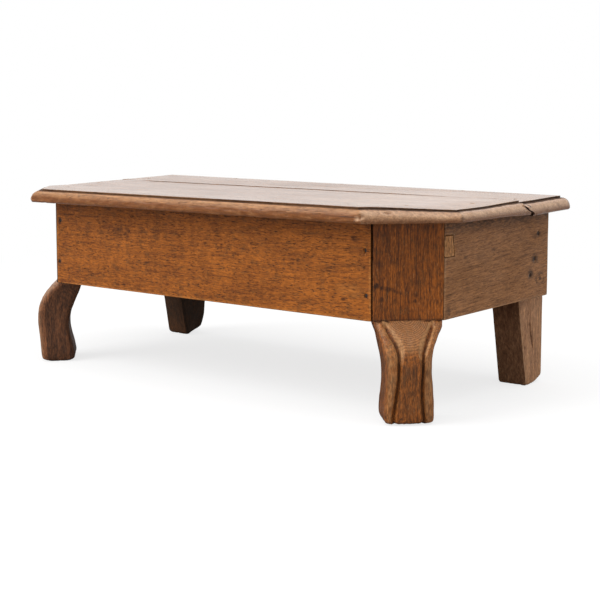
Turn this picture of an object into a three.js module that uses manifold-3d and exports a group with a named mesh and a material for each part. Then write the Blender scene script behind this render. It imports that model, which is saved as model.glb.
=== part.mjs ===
// Oak church stool: a two-board top with clipped front corners, four apron boards,
// two carved legs set across the front corners and two plain legs behind.
// Millimetres, +Z up. X runs along the stool and the front faces -Y.
// The origin lies on the floor, under the middle of the stool.

import * as THREE from "three";
import { mergeVertices } from "three/addons/utils/BufferGeometryUtils.js";
import Module from "manifold-3d";

// Apron frame, outer sizes
const apronLength = 708;
const apronDepth = 341;
const apronHeight = 123.5;
const apronThickness = 14;
const cornerAlong = 64;
const cornerAcross = 62;

// Front legs: the knee and the foot stand out in front of the corner face
const legHeight = 124.5;
const legBlankDepth = 35;
const kneeReach = 31.5;
const ledgeHeight = 1.5;
const grooveWidth = 7;
const grooveDepth = 4;
const lobeRadius = 9;
const backEdgeRadius = 6;
const postEdgeRadius = 1;

// Rear legs: the front face slopes back towards the floor and the heel is worn away
const rearLegWidth = 41;
const rearLegInset = 7;
const rearLegTopDepth = 71;
const rearLegFootDepth = 46;
const rearSoleDepth = 8;
const heelRise = 13;

// Top boards
const topThickness = 17.5;
const topFrontOverhang = 38.5;
const topSideOverhang = 34;
const topBackSetIn = 2;
const topCornerAlong = 88.5;
const topCornerAcross = 89;
const backBoardWidth = 121;
const seamGap = 0.6;
const backBoardTwist = 6.7;

// Edge moulding of the top: a small fillet, a narrow ledge, an oval round and a tucked lower edge
const mouldingWidthFront = 11.5;
const mouldingWidthSide = 15;
const mouldingWidthCorner = 16.5;
const filletDrop = 2.3;
const roundWidthShare = 0.76;
const tuckRadius = 3.6;

// Block let into the front end of the right side apron
const patchHeight = 27.5;
const patchTopWidth = 20.5;
const patchBottomWidth = 25;
const patchRise = 78;

// Nails
const nailHeadRadius = 2.7;
const nailHeadThickness = 1;
const nailShankRadius = 1.3;
const nailTipRadius = 0.4;
const nailTaper = 8;
const nailRecess = 0.4;
const apronNailLength = 34;
const topNailLength = 42;

// Clearances, and how far a cutter runs past what it cuts
const woodGap = 0.3;
const nailGap = 0.3;
const endGap = 0.8;
const overrun = 5;

// How finely round forms are divided
const nailFacets = 8;
const curveSteps = 5;
const lobeSteps = 3;
const backEdgeSteps = 2;

// Places that follow from the sizes above
const halfApron = apronLength / 2;
const yBack = (apronDepth + topFrontOverhang) / 2;
const yFront = yBack - apronDepth;
const zTop = legHeight + apronHeight;
const halfTop = halfApron + topSideOverhang;
const yTopFront = yFront - topFrontOverhang;
const yTopBack = yBack - topBackSetIn;
const ySeam = yTopBack - backBoardWidth;

// The right front corner of the frame, seen from above, is the face that its carved leg shows
const cornerFront = new THREE.Vector2(halfApron - cornerAlong, yFront);
const cornerSide = new THREE.Vector2(halfApron, yFront + cornerAcross);
const cornerMiddle = new THREE.Vector2().addVectors(cornerFront, cornerSide).divideScalar(2);
const cornerHalfWidth = cornerFront.distanceTo(cornerSide) / 2;
const cornerAngle = Math.atan2(cornerAcross, cornerAlong);

const up = new THREE.Vector3(0, 0, 1);
const alongX = new THREE.Vector3(1, 0, 0);
const alongY = new THREE.Vector3(0, 1, 0);

const wasm = await Module();
wasm.setup();

function toSolid(geometry) {
  const bare = geometry.clone();
  bare.deleteAttribute("normal");
  bare.deleteAttribute("uv");
  const merged = mergeVertices(bare);
  const vertProperties = new Float32Array(merged.attributes.position.array);
  const triVerts = new Uint32Array(merged.index.array);
  return new wasm.Manifold(new wasm.Mesh({ numProp: 3, vertProperties, triVerts }));
}

function toGeometry(solid) {
  const mesh = solid.getMesh();
  const geometry = new THREE.BufferGeometry();
  geometry.setAttribute("position", new THREE.BufferAttribute(mesh.vertProperties, 3));
  geometry.setIndex(new THREE.BufferAttribute(mesh.triVerts, 1));
  geometry.computeVertexNormals();
  return geometry;
}

function box(low, high) {
  const size = new THREE.Vector3().subVectors(high, low);
  const middle = new THREE.Vector3().addVectors(low, high).divideScalar(2);
  return new THREE.BoxGeometry(size.x, size.y, size.z).translate(middle.x, middle.y, middle.z);
}

// A shape drawn in two directions and thickened along the third, starting from a point
function extruded(shape, thickness, start, across, upright, along) {
  const turn = new THREE.Matrix4().makeBasis(across, upright, along).setPosition(start);
  const settings = { depth: thickness, bevelEnabled: false, curveSegments: curveSteps };
  return new THREE.ExtrudeGeometry(shape, settings).applyMatrix4(turn);
}

// What belongs on the left is the mirror image of the same piece on the right
function onSide(geometry, side) {
  if (side > 0) return geometry;
  const image = geometry.clone().scale(-1, 1, 1);
  const corners = image.index.array;
  for (let i = 0; i < corners.length; i += 3) {
    [corners[i + 1], corners[i + 2]] = [corners[i + 2], corners[i + 1]];
  }
  return image;
}

// Nails. Each has the point of the face it is driven into, the direction it faces and a length.
// A hole is the nail's own form, wider all round by the gap.

function nailForm({ at, facing, length }, gap, headTop) {
  const neck = -nailHeadThickness - nailRecess - gap;
  const profile = [
    new THREE.Vector2(0, -length - gap),
    new THREE.Vector2(nailTipRadius + gap, -length - gap),
    new THREE.Vector2(nailShankRadius + gap, nailTaper - length),
    new THREE.Vector2(nailShankRadius + gap, neck),
    new THREE.Vector2(nailHeadRadius + gap, neck),
    new THREE.Vector2(nailHeadRadius + gap, headTop),
    new THREE.Vector2(0, headTop),
  ];
  const turn = new THREE.Quaternion().setFromUnitVectors(alongY, facing);
  return new THREE.LatheGeometry(profile, nailFacets).applyQuaternion(turn).translate(at.x, at.y, at.z);
}

function nailBody(nail) {
  return toGeometry(toSolid(nailForm(nail, 0, -nailRecess)));
}

function drilled(solid, nails) {
  return nails.reduce((rest, nail) => rest.subtract(toSolid(nailForm(nail, nailGap, overrun))), solid);
}

// Places of the nails, as shares of the lap or the leg that holds them and of the apron's height
const frontNailShares = { left: [[0.7, 0.77], [0.45, 0.265]], right: [[0.74, 0.71], [0.66, 0.255]] };
const sideNailShares = [[0.43, 0.73], [0.56, 0.445], [0.74, 0.27]];
const backNailShares = [[0.5, 0.6], [0.5, 0.12]];
const frontLap = apronThickness * cornerAcross / cornerAlong;

function apronNail(x, y, heightShare, facing) {
  return {
    at: new THREE.Vector3(x, y, legHeight + apronHeight * heightShare),
    facing,
    length: apronNailLength,
  };
}

function frontApronNails(side) {
  const facing = alongY.clone().negate();
  return frontNailShares[side < 0 ? "left" : "right"].map(([lapShare, heightShare]) =>
    apronNail(side * (cornerFront.x - frontLap * lapShare), yFront, heightShare, facing));
}

function sideApronNails(side) {
  const facing = alongX.clone().multiplyScalar(side);
  return sideNailShares.map(([depthShare, heightShare]) =>
    apronNail(side * halfApron, yBack - rearLegTopDepth * depthShare, heightShare, facing));
}

function backApronNails(side) {
  const xOuter = halfApron - rearLegInset;
  return backNailShares.map(([widthShare, heightShare]) =>
    apronNail(side * (xOuter - rearLegWidth * widthShare), yBack, heightShare, alongY));
}

function topNails(places) {
  return places.map(([x, y]) => ({
    at: new THREE.Vector3(x, y, zTop + topThickness), facing: up, length: topNailLength }));
}

// The top is nailed down along the middle of the aprons, and once into each carved leg
const middleOfBoard = apronThickness / 2;
const longNailShare = 0.62;
const frontSideNailShare = 0.5;
const backSideNailShare = 0.3;
const xSideNail = halfApron - middleOfBoard;
const yFrontSideNail = THREE.MathUtils.lerp(cornerSide.y, ySeam, frontSideNailShare);
const legNail = cornerMiddle.clone()
  .add(new THREE.Vector2(0, legBlankDepth / 2).rotateAround(new THREE.Vector2(), cornerAngle));
const frontBoardNails = topNails([
  [-cornerFront.x * longNailShare, yFront + middleOfBoard],
  [0, yFront + middleOfBoard],
  [cornerFront.x * longNailShare, yFront + middleOfBoard],
  [-legNail.x, legNail.y],
  [legNail.x, legNail.y],
  [-xSideNail, yFrontSideNail],
  [xSideNail, yFrontSideNail],
]);
const backBoardNails = topNails([
  [-halfApron * longNailShare, yBack - middleOfBoard],
  [0, yBack - middleOfBoard],
  [halfApron * longNailShare, yBack - middleOfBoard],
  [-xSideNail, ySeam + backBoardWidth * backSideNailShare],
  [xSideNail, ySeam + backBoardWidth * backSideNailShare],
]);
const allTopNails = [...frontBoardNails, ...backBoardNails];

// Top boards

// What the moulding plane takes off along one edge, from start to end with the board on the left
function mouldingCutter(start, end, width) {
  const ledge = topThickness - filletDrop;
  const roundWidth = width * roundWidthShare;
  const tuck = Math.min(tuckRadius, ledge / 2);
  const waste = new THREE.Shape();
  waste.moveTo(width, topThickness + overrun);
  waste.lineTo(width, ledge);
  waste.lineTo(roundWidth, ledge);
  waste.absellipse(roundWidth, tuck, roundWidth, ledge - tuck, Math.PI / 2, Math.PI, false);
  waste.absarc(tuck, tuck, tuck, Math.PI, 1.5 * Math.PI, false);
  waste.lineTo(tuck, -overrun);
  waste.lineTo(-overrun, -overrun);
  waste.lineTo(-overrun, topThickness + overrun);
  const edge = new THREE.Vector3(end[0] - start[0], end[1] - start[1], 0);
  const length = edge.length();
  edge.normalize();
  const pastMitre = Math.max(topCornerAlong, topCornerAcross);
  const from = new THREE.Vector3(start[0], start[1], zTop).addScaledVector(edge, -pastMitre);
  const inward = new THREE.Vector3().crossVectors(up, edge);
  return extruded(waste, length + 2 * pastMitre, from, inward, up, edge);
}

// A board of the top: corners anticlockwise, and for each edge after a corner its moulding width or 0
function topBoard(corners, mouldingWidths, nails) {
  const outline = new THREE.Shape(corners.map(([x, y]) => new THREE.Vector2(x, y)));
  let solid = toSolid(extruded(outline, topThickness, new THREE.Vector3(0, 0, zTop), alongX, alongY, up));
  corners.forEach((corner, i) => {
    const next = corners[(i + 1) % corners.length];
    if (mouldingWidths[i] === 0) return;
    solid = solid.subtract(toSolid(mouldingCutter(corner, next, mouldingWidths[i])));
  });
  return toGeometry(drilled(solid, nails));
}

function frontBoard() {
  const xClip = halfTop - topCornerAlong;
  const yClip = yTopFront + topCornerAcross;
  const yEdge = ySeam - seamGap / 2;
  const corners = [
    [-xClip, yTopFront],
    [xClip, yTopFront],
    [halfTop, yClip],
    [halfTop, yEdge],
    [-halfTop, yEdge],
    [-halfTop, yClip],
  ];
  const mouldingWidths = [
    mouldingWidthFront,
    mouldingWidthCorner,
    mouldingWidthSide,
    0,
    mouldingWidthSide,
    mouldingWidthCorner,
  ];
  return topBoard(corners, mouldingWidths, frontBoardNails);
}

function backBoard() {
  const yEdge = ySeam + seamGap / 2;
  const corners = [[-halfTop, yEdge], [halfTop, yEdge], [halfTop, yTopBack], [-halfTop, yTopBack]];
  return topBoard(corners, [0, mouldingWidthSide, 0, mouldingWidthSide], backBoardNails);
}

// The back board has twisted: it lifts towards its left rear corner
function twisted(geometry) {
  const place = geometry.attributes.position;
  for (let i = 0; i < place.count; i += 1) {
    const leftShare = (halfTop - place.getX(i)) / (2 * halfTop);
    const backShare = (place.getY(i) - ySeam) / backBoardWidth;
    place.setZ(i, place.getZ(i) + backBoardTwist * leftShare * backShare);
  }
  return geometry;
}

// Aprons

function frontApron() {
  const xEnd = cornerFront.x - endGap;
  const board = box(
    new THREE.Vector3(-xEnd, yFront, legHeight), new THREE.Vector3(xEnd, yFront + apronThickness, zTop));
  const nails = [...frontApronNails(-1), ...frontApronNails(1), ...allTopNails];
  return toGeometry(drilled(toSolid(board), nails));
}

function backApron() {
  const xEnd = halfApron - apronThickness - woodGap;
  const board = box(
    new THREE.Vector3(-xEnd, yBack - apronThickness, legHeight), new THREE.Vector3(xEnd, yBack, zTop));
  const nails = [...backApronNails(-1), ...backApronNails(1), ...allTopNails];
  return toGeometry(drilled(toSolid(board), nails));
}

// The outline of a side apron in Y and Z. The patched one has a dovetail notch in its front end.
function sideApronOutline(isPatched) {
  const yEnd = cornerSide.y + endGap;
  const outline = new THREE.Shape();
  outline.moveTo(yEnd, legHeight);
  outline.lineTo(yBack, legHeight);
  outline.lineTo(yBack, zTop);
  outline.lineTo(yEnd, zTop);
  if (isPatched) {
    const zPatch = legHeight + patchRise;
    outline.lineTo(yEnd, zPatch + patchHeight);
    outline.lineTo(yEnd + patchTopWidth, zPatch + patchHeight);
    outline.lineTo(yEnd + patchBottomWidth, zPatch);
    outline.lineTo(yEnd, zPatch);
  }
  return outline;
}

function sideApron(side) {
  const start = new THREE.Vector3(halfApron - apronThickness, 0, 0);
  const board = extruded(sideApronOutline(side > 0), apronThickness, start, alongY, up, alongX);
  const seated = toGeometry(toSolid(board));
  return toGeometry(drilled(toSolid(onSide(seated, side)), [...sideApronNails(side), ...allTopNails]));
}

function sideApronPatch() {
  const yEnd = cornerSide.y + endGap;
  const zBottom = legHeight + patchRise + woodGap;
  const zUpper = legHeight + patchRise + patchHeight - endGap;
  const outline = new THREE.Shape();
  outline.moveTo(yEnd, zBottom);
  outline.lineTo(yEnd + patchBottomWidth - endGap, zBottom);
  outline.lineTo(yEnd + patchTopWidth - endGap, zUpper);
  outline.lineTo(yEnd, zUpper);
  const start = new THREE.Vector3(halfApron - apronThickness, 0, 0);
  return toGeometry(toSolid(extruded(outline, apronThickness, start, alongY, up, alongX)));
}

// Front legs

// Shares of the leg from the floor up: height, width towards the front apron and towards the side
// one, reach in front of the corner face, depth behind it, and the places of the two carved
// grooves, as shares of those two widths
const legStationShares = [
  [0, 0.5, 0.6, 0.51, 0.46, 0.75, 0.55],
  [0.024, 0.6, 0.645, 0.77, 0.61, 0.74, 0.55],
  [0.07, 0.685, 0.66, 0.85, 0.67, 0.7, 0.545],
  [0.14, 0.73, 0.662, 0.876, 0.65, 0.632, 0.505],
  [0.22, 0.745, 0.66, 0.9, 0.59, 0.59, 0.463],
  [0.31, 0.74, 0.645, 0.933, 0.503, 0.555, 0.448],
  [0.41, 0.722, 0.614, 0.97, 0.449, 0.522, 0.463],
  [0.51, 0.708, 0.583, 0.997, 0.454, 0.503, 0.51],
  [0.6, 0.708, 0.58, 0.985, 0.514, 0.497, 0.53],
  [0.7, 0.733, 0.612, 0.905, 0.649, 0.49, 0.55],
  [0.79, 0.765, 0.708, 0.752, 0.777, 0.56, 0.614],
  [0.87, 0.8, 0.847, 0.55, 0.91, 0.683, 0.65],
  [0.94, 0.865, 0.978, 0.29, 0.986, 0.715, 0.675],
  [0.97, 0.91, 0.99, 0.165, 1, 0.72, 0.68],
  [1, 0.95, 1, 0.057, 1, 0.73, 0.69],
];

// One level of the leg, anticlockwise from above: X runs along the corner face and -Y is its front
function legLevel({ z, halves, front, back, grooves, groove, frontRadii, rearRadius }) {
  const points = [];
  const quarterTurn = (x, y, radius, startAngle, steps) => {
    for (let i = 0; i <= steps; i += 1) {
      const angle = startAngle + (i / steps) * (Math.PI / 2);
      points.push([x + radius * Math.cos(angle), y + radius * Math.sin(angle), z]);
    }
  };
  const dip = (x) => {
    points.push([x - grooveWidth / 2, -front, z]);
    points.push([x, groove - front, z]);
    points.push([x + grooveWidth / 2, -front, z]);
  };
  quarterTurn(frontRadii[0] - halves[0], frontRadii[0] - front, frontRadii[0], Math.PI, lobeSteps);
  dip(grooves[0]);
  points.push([(grooves[0] + grooves[1]) / 2, -front, z]);
  dip(grooves[1]);
  quarterTurn(halves[1] - frontRadii[1], frontRadii[1] - front, frontRadii[1], -Math.PI / 2, lobeSteps);
  quarterTurn(halves[1] - rearRadius, back - rearRadius, rearRadius, 0, backEdgeSteps);
  quarterTurn(rearRadius - halves[0], back - rearRadius, rearRadius, Math.PI / 2, backEdgeSteps);
  return points;
}

function carvedLevel([height, widthIn, widthOut, front, back, grooveIn, grooveOut]) {
  const halves = [cornerHalfWidth * widthIn, cornerHalfWidth * widthOut];
  const grooves = [-halves[0] * grooveIn, halves[1] * grooveOut];
  const frontRadii = halves.map((half, i) =>
    Math.min(lobeRadius, half - Math.abs(grooves[i]) - grooveWidth / 2));
  return legLevel({
    z: legHeight * height,
    halves,
    front: kneeReach * front,
    back: legBlankDepth * back,
    grooves,
    groove: grooveDepth,
    frontRadii,
    rearRadius: backEdgeRadius,
  });
}

function postLevel(z) {
  const [, , , , , grooveIn, grooveOut] = legStationShares.at(-1);
  return legLevel({
    z,
    halves: [cornerHalfWidth, cornerHalfWidth],
    front: 0,
    back: legBlankDepth,
    grooves: [-cornerHalfWidth * grooveIn, cornerHalfWidth * grooveOut],
    groove: 0,
    frontRadii: [postEdgeRadius, postEdgeRadius],
    rearRadius: postEdgeRadius,
  });
}

// A closed skin over levels with the same number of points
function loft(levels) {
  const count = levels[0].length;
  const indices = [];
  for (let level = 0; level < levels.length - 1; level += 1) {
    for (let i = 0; i < count; i += 1) {
      const low = level * count + i;
      const lowNext = level * count + (i + 1) % count;
      indices.push(low, lowNext, lowNext + count, low, lowNext + count, low + count);
    }
  }
  const lid = (level) => {
    const outline = level.map(([x, y]) => new THREE.Vector2(x, y));
    return THREE.ShapeUtils.triangulateShape(outline, []);
  };
  const last = (levels.length - 1) * count;
  lid(levels[0]).forEach(([a, b, c]) => indices.push(a, c, b));
  lid(levels.at(-1)).forEach(([a, b, c]) => indices.push(last + a, last + b, last + c));
  const geometry = new THREE.BufferGeometry();
  geometry.setAttribute("position", new THREE.Float32BufferAttribute(levels.flat(2), 3));
  geometry.setIndex(indices);
  return geometry;
}

// The rebates that the front and side aprons lie in
function frontRebates() {
  const zLow = legHeight - woodGap;
  const zHigh = zTop + overrun;
  return [
    box(
      new THREE.Vector3(0, yFront - overrun, zLow),
      new THREE.Vector3(cornerFront.x, yFront + apronThickness + woodGap, zHigh)),
    box(
      new THREE.Vector3(halfApron - apronThickness - woodGap, cornerSide.y, zLow),
      new THREE.Vector3(halfApron + overrun, yBack, zHigh)),
  ];
}

function cut(solid, cutters) {
  return cutters.reduce((rest, cutter) => rest.subtract(toSolid(cutter)), solid);
}

function frontLeg(side) {
  const levels = legStationShares.map(carvedLevel);
  levels.push(postLevel(legHeight + ledgeHeight), postLevel(zTop));
  const blank = loft(levels).rotateZ(cornerAngle).translate(cornerMiddle.x, cornerMiddle.y, 0);
  const rebated = toGeometry(cut(toSolid(blank), frontRebates()));
  const nails = [...frontApronNails(side), ...allTopNails];
  return toGeometry(drilled(toSolid(onSide(rebated, side)), nails));
}

// Rear legs

// The worn heel bends like a curve whose middle point has these shares of the heel's rise
const heelBendShares = { back: 0.2, height: 0.3 };

function rearLeg(side) {
  const outline = new THREE.Shape();
  outline.moveTo(yBack - rearLegFootDepth, 0);
  outline.lineTo(yBack - rearLegFootDepth + rearSoleDepth, 0);
  outline.quadraticCurveTo(
    yBack - heelRise * heelBendShares.back, heelRise * heelBendShares.height, yBack, heelRise);
  outline.lineTo(yBack, zTop);
  outline.lineTo(yBack - rearLegTopDepth, zTop);
  outline.lineTo(yBack - rearLegTopDepth, legHeight);
  const start = new THREE.Vector3(halfApron - rearLegInset - rearLegWidth, 0, 0);
  const blank = extruded(outline, rearLegWidth, start, alongY, up, alongX);
  const zLow = legHeight - woodGap;
  const zHigh = zTop + overrun;
  const rebated = toGeometry(cut(toSolid(blank), [
    box(
      new THREE.Vector3(halfApron - apronThickness - woodGap, 0, zLow),
      new THREE.Vector3(halfApron + overrun, yBack + overrun, zHigh)),
    box(
      new THREE.Vector3(0, yBack - apronThickness - woodGap, zLow),
      new THREE.Vector3(halfApron + overrun, yBack + overrun, zHigh)),
  ]));
  const nails = [...sideApronNails(side), ...backApronNails(side)];
  return toGeometry(drilled(toSolid(onSide(rebated, side)), nails));
}

// The stool

function wood(color, roughness) {
  return new THREE.MeshStandardMaterial({ color, roughness, metalness: 0 });
}

const finishes = {
  top: wood(0xa98f7c, 0.5),
  frontApron: wood(0x8a5527, 0.6),
  sideApron: wood(0x78533a, 0.65),
  frontLeg: wood(0x7a4621, 0.55),
  rearLeg: wood(0x5d4330, 0.7),
  patch: wood(0x9c7048, 0.7),
  iron: new THREE.MeshStandardMaterial({ color: 0x2c2926, roughness: 0.6, metalness: 0.8 }),
};

const stool = new THREE.Group();

function addPart(name, geometry, material) {
  const mesh = new THREE.Mesh(geometry, material);
  mesh.name = name;
  stool.add(mesh);
}

function addNails(name, bodies) {
  bodies.forEach((body, i) => addPart(`${name}_${i + 1}`, body, finishes.iron));
}

addPart("top_front_board", frontBoard(), finishes.top);
addPart("top_back_board", twisted(backBoard()), finishes.top);
addPart("front_apron", frontApron(), finishes.frontApron);
addPart("back_apron", backApron(), finishes.sideApron);
addPart("side_apron_patch", sideApronPatch(), finishes.patch);
addNails("top_front_board_nail", frontBoardNails.map(nailBody));
addNails("top_back_board_nail", backBoardNails.map(nailBody).map(twisted));
for (const [label, side] of [["left", -1], ["right", 1]]) {
  addPart(`side_apron_${label}`, sideApron(side), finishes.sideApron);
  addPart(`front_leg_${label}`, frontLeg(side), finishes.frontLeg);
  addPart(`rear_leg_${label}`, rearLeg(side), finishes.rearLeg);
  addNails(`front_apron_nail_${label}`, frontApronNails(side).map(nailBody));
  addNails(`side_apron_nail_${label}`, sideApronNails(side).map(nailBody));
  addNails(`back_apron_nail_${label}`, backApronNails(side).map(nailBody));
}

export default stool;
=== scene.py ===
"""An old oak church stool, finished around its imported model.

Metres, +Z up, the front faces -Y. The boards, posts and rear legs start as copies of the
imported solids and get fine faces, softened edges, wear and dents. The carved legs and the
nails are built here. Every surface has a procedural material.
"""

import math

import bmesh
import bpy
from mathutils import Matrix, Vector, noise


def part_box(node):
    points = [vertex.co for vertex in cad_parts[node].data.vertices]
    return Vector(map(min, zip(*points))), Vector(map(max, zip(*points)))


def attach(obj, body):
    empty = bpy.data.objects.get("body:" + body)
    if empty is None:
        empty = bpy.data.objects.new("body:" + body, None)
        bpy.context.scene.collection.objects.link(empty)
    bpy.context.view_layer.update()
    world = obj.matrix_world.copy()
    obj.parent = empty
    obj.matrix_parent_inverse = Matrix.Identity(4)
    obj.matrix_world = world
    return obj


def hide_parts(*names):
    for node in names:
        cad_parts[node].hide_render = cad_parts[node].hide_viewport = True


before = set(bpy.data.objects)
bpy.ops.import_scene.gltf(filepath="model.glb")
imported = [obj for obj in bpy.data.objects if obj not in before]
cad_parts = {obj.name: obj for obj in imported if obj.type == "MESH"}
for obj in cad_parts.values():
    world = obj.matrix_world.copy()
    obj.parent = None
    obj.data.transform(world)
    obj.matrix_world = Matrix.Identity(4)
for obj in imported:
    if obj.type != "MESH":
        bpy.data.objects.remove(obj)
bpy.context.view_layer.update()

SIDES = (("left", -1), ("right", 1))
ALONG_X = Vector((1, 0, 0))
ALONG_Y = Vector((0, 1, 0))
ALONG_Z = Vector((0, 0, 1))

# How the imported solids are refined
merge_distance = 0.00001
flat_angle = math.radians(1)
corner_angle = math.radians(40)
shading_angle = math.radians(38)
shortest_arris = 0.008
bevel_steps = 2

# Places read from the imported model
front_low, front_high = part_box("front_apron")
side_low, side_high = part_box("side_apron_right")
back_low, back_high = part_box("back_apron")
board_low, board_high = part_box("top_front_board")
back_board_low, back_board_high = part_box("top_back_board")
y_front = front_low.y
leg_height = front_low.z
z_under_top = front_high.z
z_top = board_high.z
top_thickness = z_top - z_under_top
half_top = board_high.x
half_frame = side_high.x
y_seam = (board_high.y + back_board_low.y) / 2

# The clipped front corner of the frame, which the carved leg's face spans
end_gap = 0.0008
corner_front = Vector((front_high.x + end_gap, y_front, 0))
corner_side = Vector((half_frame, side_low.y - end_gap, 0))
corner_middle = (corner_front + corner_side) / 2
corner_half_width = (corner_side - corner_front).length / 2
corner_along = (corner_side - corner_front).normalized()
corner_out = Vector((corner_along.y, -corner_along.x, 0))


def smooth(low, high, value):
    share = min(max((value - low) / (high - low), 0.0), 1.0)
    return share * share * (3.0 - 2.0 * share)


def bell(value, middle, width):
    return math.exp(-(((value - middle) / width) ** 2))


def blend(table, value):
    """The second column of a table of pairs, read at a value of its first column."""
    for (low, at_low), (high, at_high) in zip(table, table[1:]):
        if value < high:
            share = max(0.0, (value - low) / (high - low))
            return at_low + (at_high - at_low) * share
    return table[-1][1]


def lumps(point, size, seed=0.0):
    """Smooth noise from -1 to 1. Its lumps have the given size, one number or one for each axis."""
    sizes = size if hasattr(size, "__len__") else (size, size, size)
    return noise.noise(Vector([point[i] / sizes[i] + seed for i in range(3)]))


# Meshes


def soften_arrises(bm, radius):
    edges = [
        edge
        for edge in bm.edges
        if edge.is_manifold
        and edge.calc_length() > shortest_arris
        and edge.calc_face_angle_signed(0.0) > corner_angle
    ]
    bmesh.ops.bevel(
        bm, geom=edges, offset=radius, offset_type="OFFSET", segments=bevel_steps, profile=0.5,
        affect="EDGES", clamp_overlap=True,
    )


def cut_across(bm, axis, low, high, spacing, parts):
    """Divides parts of a mesh by evenly spaced planes across one axis."""
    normal = Vector((0, 0, 0))
    normal[axis] = 1
    count = max(1, round((high - low) / spacing))
    for i in range(1, count):
        bmesh.ops.bisect_plane(
            bm,
            geom=parts(),
            dist=merge_distance,
            plane_co=normal * (low + (high - low) * i / count),
            plane_no=normal,
        )


def cut_into_grid(bm, spacings):
    for axis, spacing in enumerate(spacings):
        places = [vert.co[axis] for vert in bm.verts]
        cut_across(
            bm, axis, min(places), max(places), spacing,
            lambda: bm.verts[:] + bm.edges[:] + bm.faces[:],
        )


def cut_locally(bm, low, high, spacings):
    """A finer grid on the faces whose middle lies between two corners of a box."""

    def inside():
        faces = []
        for face in bm.faces:
            middle = face.calc_center_median()
            if all(low[i] < middle[i] < high[i] for i in range(3)):
                faces.append(face)
        edges = {edge for face in faces for edge in face.edges}
        verts = {vert for edge in edges for vert in edge.verts}
        return list(verts) + list(edges) + faces

    for axis, spacing in enumerate(spacings):
        cut_across(bm, axis, low[axis], high[axis], spacing, inside)


def solid_of(node):
    """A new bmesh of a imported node, with whole flat faces and shared corners."""
    bm = bmesh.new()
    bm.from_mesh(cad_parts[node].data)
    bmesh.ops.remove_doubles(bm, verts=bm.verts, dist=merge_distance)
    bmesh.ops.dissolve_limit(bm, angle_limit=flat_angle, verts=bm.verts, edges=bm.edges)
    return bm


def refine(bm, edge_radius, spacings):
    soften_arrises(bm, edge_radius)
    bmesh.ops.triangulate(bm, faces=bm.faces)
    cut_into_grid(bm, spacings)
    bm.normal_update()


def layer(bm, name):
    return bm.verts.layers.float.get(name) or bm.verts.layers.float.new(name)


def add_object(name, data):
    made = bpy.data.objects.new(name, data)
    bpy.context.scene.collection.objects.link(made)
    return made


def piece_from(bm, name, nodes, material):
    """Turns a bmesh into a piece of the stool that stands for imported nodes."""
    mesh = bpy.data.meshes.new(name)
    bm.to_mesh(mesh)
    bm.free()
    mesh.shade_smooth()
    mesh.set_sharp_from_angle(angle=shading_angle)
    mesh.materials.append(material)
    piece = add_object(name, mesh)
    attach(piece, "root")
    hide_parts(*nodes)
    return piece


# Wear, dirt and painted light. Two values are stored on the points of a mesh: the pale one is rubbed
# wood and painted highlights, the dark one is dirt and painted shade.

worn_angle = math.radians(20)
scuff_size = 0.012
chip_size = 0.006
chip_threshold = 0.3
chip_depth_share = 4.0
wave_length = 0.16
wave_width = 0.035
fibre_length = 0.03
fibre_width = 0.005
fibre_share = 0.25


def worn_points(bm):
    found = set()
    for edge in bm.edges:
        if edge.is_manifold and edge.calc_face_angle_signed(0.0) > worn_angle:
            found.update(edge.verts)
    return found


def weather(bm, grain, swell, rub, seed):
    """Gives a board slow waves along its grain and rubs its arrises down."""
    wear_and_highlight = layer(bm, "wear_and_highlight")
    layer(bm, "grime_and_shade")
    bm.normal_update()
    wave_size = [wave_length if axis else wave_width for axis in grain]
    fibre_size = [fibre_length if axis else fibre_width for axis in grain]
    arris = worn_points(bm)
    moves = []
    for vert in bm.verts:
        height = swell * lumps(vert.co, wave_size, seed)
        height += swell * fibre_share * lumps(vert.co, fibre_size, seed)
        if vert in arris:
            chip = smooth(chip_threshold, 0.8, lumps(vert.co, chip_size, seed))
            scuff = 0.5 + 0.5 * lumps(vert.co, scuff_size, seed)
            height -= rub * (scuff + chip_depth_share * chip)
            vert[wear_and_highlight] = max(vert[wear_and_highlight], min(1.0, 0.2 + 0.6 * scuff + 0.4 * chip))
        moves.append(vert.normal * height)
    for vert, move in zip(bm.verts, moves):
        vert.co += move


# Boards of the frame

apron_step_along = 0.005
apron_step_across = 0.0035
apron_edge_radius = 0.0008
apron_swell = 0.0002
apron_rub = 0.0003

# The front apron has shrunk away from the right post, most of all at its top
shrinkage = 0.0022
shrinkage_reach = 0.03


def apron(node, grain, material, seed):
    spacings = [apron_step_along if axis else apron_step_across for axis in grain]
    bm = solid_of(node)
    refine(bm, apron_edge_radius, spacings)
    weather(bm, grain, apron_swell, apron_rub, seed)
    grime_and_shade = layer(bm, "grime_and_shade")
    for vert in bm.verts:
        place = vert.co
        if node == "front_apron":
            at_right = smooth(front_high.x - shrinkage_reach, front_high.x, place.x)
            at_top = 0.6 + 0.4 * smooth(leg_height, z_under_top, place.z)
            place.x -= shrinkage * at_right * at_top
        # End-grain faces are painted dark: painted shade in the gaps at the boards' ends.
        if abs(vert.normal.dot(grain)) > 0.9:
            vert[grime_and_shade] = 0.8
    return piece_from(bm, node + "_wood", [node], material)


# The top

top_step = 0.005
top_step_up = 0.0012
top_edge_radius = 0.0005
top_swell = 0.0001
top_rub = 0.00015

top_corner_along = 0.0885
top_corner_across = 0.089
x_mitre = half_top - top_corner_along
moulding_width_front = 0.0115
moulding_width_side = 0.015
moulding_width_corner = 0.0165
fillet_drop = 0.0023
fillet_reach = 0.0009

# The whole top has twisted: it lifts from this line towards its left rear corner
twist_rise = back_board_high.z - z_top
y_twist_start = -0.051

# The back board stands a little proud of the front one along the seam. Its right end has sunk,
# and hangs lower still outside the frame.
seam_step = 0.0006
seam_closed = 0.0002
seam_step_fades = (0.15, 0.3)
seam_step_reach = 0.03
sink = 0.0021
sink_starts = 0.24
overhang_sink = 0.0012
hang_starts = 0.022
hang_full = 0.012

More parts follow.
